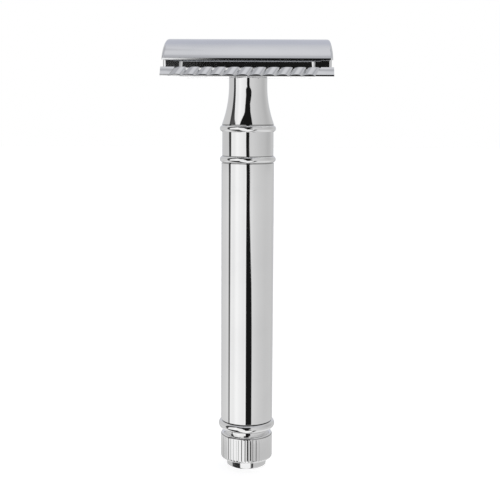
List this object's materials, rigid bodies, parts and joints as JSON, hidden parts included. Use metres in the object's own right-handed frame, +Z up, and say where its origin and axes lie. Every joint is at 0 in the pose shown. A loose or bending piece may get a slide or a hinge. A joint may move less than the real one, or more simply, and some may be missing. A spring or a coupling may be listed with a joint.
{
  "type": "safety razor",
  "caption": "Double-edge safety razor: curved cap and lobed guard plate clamp a thin blade, screwed onto a long smooth tubular handle with a fluted end knob.",
  "frame": {"origin": "centre of the flat foot under the knob, on the handle's axis", "axes": "+Z up the handle towards the head; X along the blade's cutting edges; Y across the two edges, with the front guard at -Y"},
  "size_m": [0.044, 0.0256, 0.1157],
  "materials": {
    "cap_chrome": "polished chrome plate",
    "plate_chrome": "polished chrome plate",
    "handle_chrome": "mirror-polished chrome plate",
    "stud_steel": "turned steel",
    "blade_steel": "ground steel strip",
    "rod_brass": "drawn brass rod"
  },
  "bodies": {
    "handle": {"neck": "handle_chrome", "handle_tube": "handle_chrome", "tie_rod": "rod_brass", "end_ring": "handle_chrome", "knob": "handle_chrome"},
    "plate": {"base_plate": "plate_chrome", "blade": "blade_steel"},
    "cap": {"top_cap": "cap_chrome", "cap_stud": "stud_steel"}
  },
  "joints": [
    {"name": "head_turn", "type": "hinge", "parent": "handle", "child": "plate", "pos_m": [0, 0, 0.1058], "axis": [0, 0, 1], "range_deg": [0, 2700]},
    {"name": "cap_lift", "type": "slide", "parent": "plate", "child": "cap", "axis": [0, 0, 1], "range_m": [0, 0.006], "deforming": ["blade"]}
  ],
  "couplings": [
    {"joint": "cap_lift", "follows": "head_turn", "m_per_rad": 0.00012732}
  ]
}
